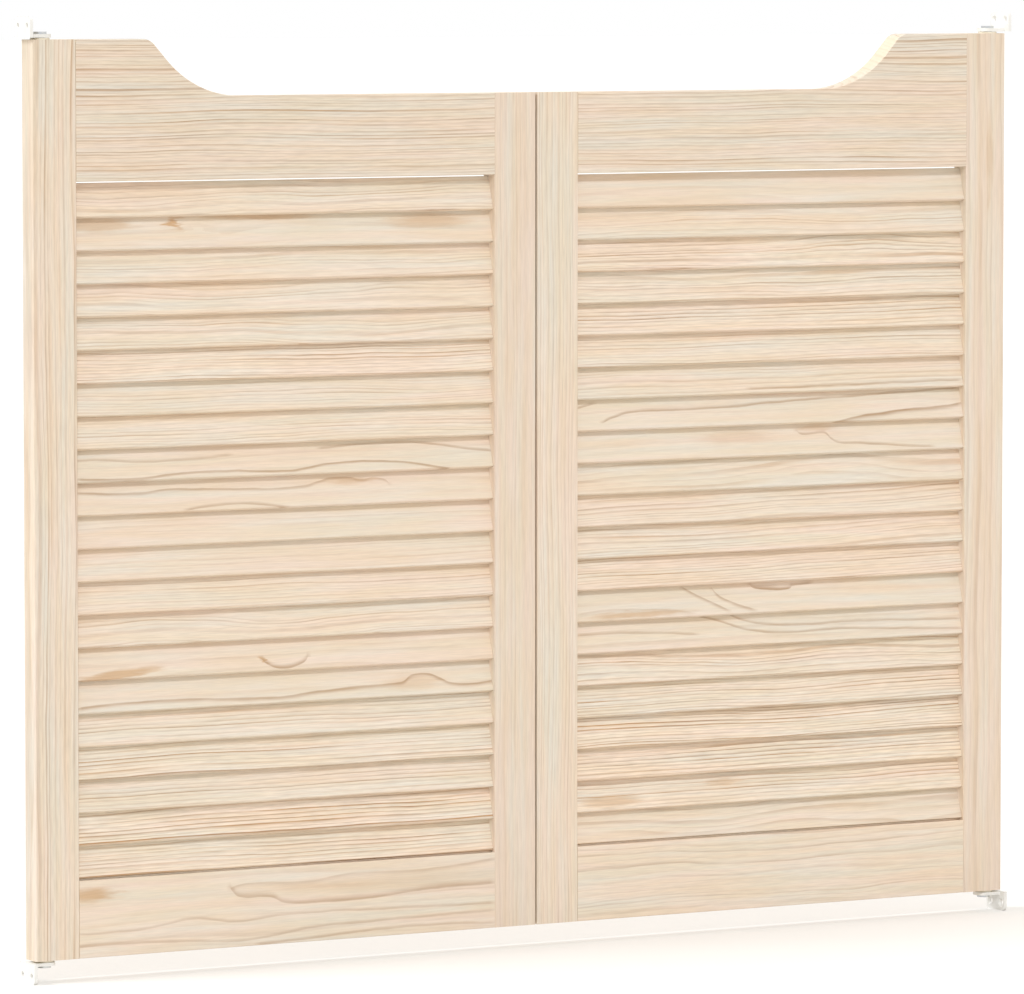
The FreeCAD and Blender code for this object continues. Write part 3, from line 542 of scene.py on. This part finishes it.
def make_camera():
    """The camera that the scene is seen by."""
    camera = bpy.data.cameras.new("camera")
    camera.sensor_width = CAMERA_SENSOR
    camera.lens = CAMERA_LENS
    item = bpy.data.objects.new("camera", camera)
    item.location = CAMERA_PLACE
    item.rotation_euler = (math.radians(90 - CAMERA_DIP), 0.0, math.radians(-CAMERA_TURN))
    bpy.context.scene.collection.objects.link(item)
    bpy.context.scene.camera = item


# Ways a slat was cut from its log: a Board's values in mm.
CUTS = {
    "fine": dict(rings=2.8, across=115, behind=25, sway=1.6),
    "strong": dict(rings=3.6, across=130, behind=20, sway=1.3),
    "wavy": dict(rings=3.6, across=85, behind=35, sway=3.0),
    "faint": dict(rings=3.4, across=100, behind=30, sway=1.8),
    "smooth": dict(rings=5.0, across=60, behind=45, sway=3.4),
    "plain": dict(rings=7.0, across=60, behind=40, sway=2.0),
}
# Each slat's cut, contrast and tone, from the top.
SLATS = {
    "left": [
        ("wavy", 0.85, 0.0), ("smooth", 0.2, -0.06), ("wavy", 0.7, -0.03), ("wavy", 0.67, 0.03),
        ("wavy", 0.77, -0.05), ("fine", 1.15, 0.03), ("fine", 0.62, -0.05), ("fine", 0.78, -0.03),
        ("plain", 0.25, -0.05), ("plain", 0.2, 0.06), ("faint", 0.25, 0.04), ("faint", 0.38, 0.02),
        ("fine", 0.65, 0.08), ("wavy", 0.62, 0.0), ("plain", 0.28, 0.06), ("plain", 0.2, -0.08),
        ("strong", 0.9, -0.06), ("strong", 1.25, -0.11), ("strong", 1.02, -0.09), ("strong", 1.7, 0.0),
        ("strong", 1.33, -0.05)],
    "right": [
        ("smooth", 0.15, 0.03), ("wavy", 0.62, -0.06), ("wavy", 1.2, 0.02), ("wavy", 0.97, -0.1),
        ("strong", 1.17, 0.03), ("fine", 0.8, -0.02), ("faint", 0.55, -0.07), ("plain", 0.2, 0.0),
        ("plain", 0.2, -0.03), ("smooth", 0.38, -0.05), ("faint", 0.7, 0.07), ("faint", 0.8, 0.0),
        ("fine", 1.0, 0.08), ("plain", 0.2, -0.06), ("plain", 0.35, -0.04), ("wavy", 1.1, -0.05),
        ("fine", 1.25, -0.09), ("fine", 1.5, 0.0), ("strong", 1.75, 0.0), ("strong", 1.27, -0.03),
        ("smooth", 0.4, -0.04)],
}
# What some slats show besides: grain that runs askew, marks of branches and traces of wide rings.
MARKED_SLATS = {
    "left_slat_02": dict(marks=[
        Mark(-182, 7, 40, 9, tint=0.6), Mark(-108, 7, 9, 7, lift=3, tint=1.0), Mark(-84, 2, 12, 12, lift=5),
        Mark(-20, 12, 66, 4, tint=0.6), Mark(146, 5, 50, 9, tint=0.6)]),
    "left_slat_09": dict(traces=[
        Trace([(-206, 3.4), (-176, 3.2), (-147, 0.8), (-89, 1.4), (-54, 3.9)], 0.35),
        Trace([(34, 6.5), (87, 9.3), (116, 9.6), (145, 7.4), (174, 2.8), (209, -1.7)], 0.5),
        Trace([(-206, -12.2), (-147, -13.5), (-109, -10.7), (-60, -9.8), (-1, -11.9), (43, -6.7),
               (87, -5.8), (116, -7.7), (145, -12.6), (175, -18)], 0.6, -2.5)]),
    "left_slat_10": dict(marks=[Mark(66, 6, 28, 4, tint=0.45)], traces=[
        Trace([(-206, 5.4), (-147, 2.6), (-118, 4.8), (-60, 3.4), (19, 3.1), (34, 6.6), (49, 9.6),
               (66, 8.9), (78, 6.3), (89, 8), (104, 0.6)], 0.5, -3),
        Trace([(-100, -14.7), (-60, -10.8), (-30, -12), (-1, -15.8)], 0.5)]),
    "left_slat_15": dict(marks=[Mark(-168, -12, 54, 5, tilt=6, tint=0.85), Mark(-21, -6, 6, 4, tint=0.9)],
                         traces=[Trace([(-24, -4), (-19, -9.9), (-4, -13.9), (11, -11.4), (21, -3.7)],
                                       0.75, 5)]),
    "left_slat_16": dict(marks=[Mark(130, -4, 34, 8, tint=0.35)], traces=[
        Trace([(-206, -10.6), (-125, -7.4), (-53, -9.3), (-1, -10.1), (22, -7.7), (72, -4.9), (116, -3.1),
               (127, 2.4), (139, 3.4), (154, -0.9), (168, -6.6), (186, -8.1), (209, -6)], 0.6, -4)]),
    "right_slat_07": dict(traces=[Trace([(-26, -11.9), (89, -10.9), (205, -9.9)], 0.5)]),
    "right_slat_08": dict(traces=[
        Trace([(-204, 4.7), (-185, 9)], 0.45),
        Trace([(-179, -9), (-166, -4), (-147, 0), (-100, 0.6), (-40, 1.3), (-15, 3.2), (17, 4.8),
               (205, 12)], 0.55),
        Trace([(58, -17.4), (74, -14.9), (96, -10.7), (118, -9), (144, -6.3), (188, -4.5), (207, -2.1)],
              0.75, -5)]),
    "right_slat_09": dict(
        marks=[Mark(48, 9, 24, 4, lift=3, tint=0.5), Mark(-36, 3, 50, 8, tint=0.3)],
        traces=[Trace([(30, 7.7), (36, 3.4), (58, 3.9), (65, -1.8), (74, -6.2), (96, -7.5), (131, -10.4),
                       (175, -13.4)], 0.5)]),
    "right_slat_11": dict(skew=1.2),
    "right_slat_12": dict(skew=1.4),
    "right_slat_13": dict(skew=1.0),
    "right_slat_14": dict(marks=[Mark(-142, -11, 70, 4, tilt=1, tint=0.7)], traces=[
        Trace([(-92, 12.5), (-84, 7.5), (-68, -0.9), (-46, -11.5)], 0.5, -4),
        Trace([(-60, 11), (-56, 4), (-43, -3.4), (-30, -8.7), (-18, -12)], 0.5, -4),
        Trace([(-19, 11.9), (-15, 7.6), (1, 6), (20, 5.4), (25, 8.5)], 0.7, 5),
        Trace([(25, 8.5), (47, 10)], 0.6, 3),
        Trace([(-204, -8.4), (-173, -5.7), (-141, -6.3), (-109, -8.6), (-84, -12.5)], 0.25, -5)]),
    "right_slat_15": dict(traces=[
        Trace([(-75, 13.8), (-52, 7.3), (-34, 0.9), (-15, -3.5), (17, -6.4), (49, -5.7), (80, -5.3),
               (112, -6.8), (207, -11.4)], 0.5),
        Trace([(-46, 16.6), (-27, 7.5), (-2, 2.1), (33, 0.5), (96, 1), (144, -0.1), (207, -2.3)], 0.45),
        Trace([(-204, 0.9), (-141, 0.6), (-78, -3.8)], 0.4)]),
    "right_slat_20": dict(marks=[Mark(-170, -7, 38, 7, tint=0.6), Mark(-48, 4, 24, 4, tint=0.5)]),
}
# How each rail and stile was cut, and what its face shows.
FRAME_BOARDS = {
    "left_top_rail": dict(rings=3.0, across=190, behind=40, sway=1.3, contrast=1.0, shade=0.945),
    "right_top_rail": dict(rings=3.0, across=170, behind=40, sway=1.5, contrast=0.8, shade=0.955),
    "left_bottom_rail": dict(rings=8.0, across=75, behind=40, sway=2.0, contrast=0.25, marks=[
        Mark(-198, 21, 36, 8, tint=0.9), Mark(110, 14, 172, 12, tint=0.25)], traces=[
        Trace([(-60, 20), (-57, 15), (-49, 10.5), (-20, 8.5), (-5, 2.4), (24, 0.5), (83, 1.5), (141, 5.4),
               (206, 6.1)], 0.5, 6),
        Trace([(-60, 18), (-43, 21.7), (18, 20), (53, 23.7), (141, 23.6), (205, 29)], 0.3, -4),
        Trace([(-210, -12.7), (-151, -12.7), (-122, -9.5), (-99, -6.4), (-49, -11.6), (-5, -8), (24, -8.1),
               (83, -9.3), (141, -10.6), (206, -11.5)], 0.35),
        Trace([(-210, -24.1), (-151, -24.1), (-93, -26.3), (-46, -28.7), (24, -21.7), (53, -20.6),
               (112, -19.8), (206, -18.2)], 0.35),
        Trace([(-34, -33.4), (24, -30.9), (83, -27.9), (141, -27.2), (206, -29.8)], 0.4)]),
    "right_bottom_rail": dict(rings=4.5, across=80, behind=40, sway=3.0, contrast=0.5, shade=1.01),
    "left_hinge_stile": dict(rings=4.2, across=90, behind=25, sway=1.5, contrast=0.75, shade=0.965),
    "left_meeting_stile": dict(rings=5.0, across=120, behind=25, sway=1.4, contrast=0.38, tone=0.07,
                               shade=0.945),
    "right_meeting_stile": dict(rings=3.6, across=120, behind=20, sway=1.2, contrast=0.5, shade=0.98),
    "right_hinge_stile": dict(rings=5.5, across=80, behind=30, sway=1.8, contrast=0.3, tone=0.07,
                              shade=0.965, marks=[Mark(286, -5, 46, 5, tint=0.35),
                                                  Mark(248, -4, 18, 3, tint=0.3)]),
}

for side in ("left", "right"):
    for number, (cut, contrast, tone) in enumerate(SLATS[side], start=1):
        slat = f"{side}_slat_{number:02d}"
        marked = MARKED_SLATS.get(slat, {})
        wear(slat, pine(Board(slat, "level", contrast=contrast, tone=tone, **CUTS[cut], **marked)))
for name, cut in FRAME_BOARDS.items():
    grain = "level" if "rail" in name else "upright"
    wear(name, pine(Board(name, grain, **cut)))

FINISHES = {
    "beech_dowel": beech(),
    "nylon_bush": nylon(),
    "painted_bracket": powder_coat(),
    "plated_pin": zinc_plate(),
    "spring_steel": spring_wire(),
}
for piece in frame["record"]["subparts"]:
    if piece["material_slot"] in FINISHES:
        wear(piece["node"], FINISHES[piece["material_slot"]])
for side in ("left", "right"):
    wind_spring(side, FINISHES["spring_steel"])

make_floor()
make_world()
make_lamp("key", azimuth=28, elevation=36.5, softness=6, level=KEY_LEVEL)
make_lamp("side", azimuth=100, elevation=45, softness=20, level=SIDE_LEVEL)
make_camera()
bpy.context.scene.view_settings.view_transform = "Standard"
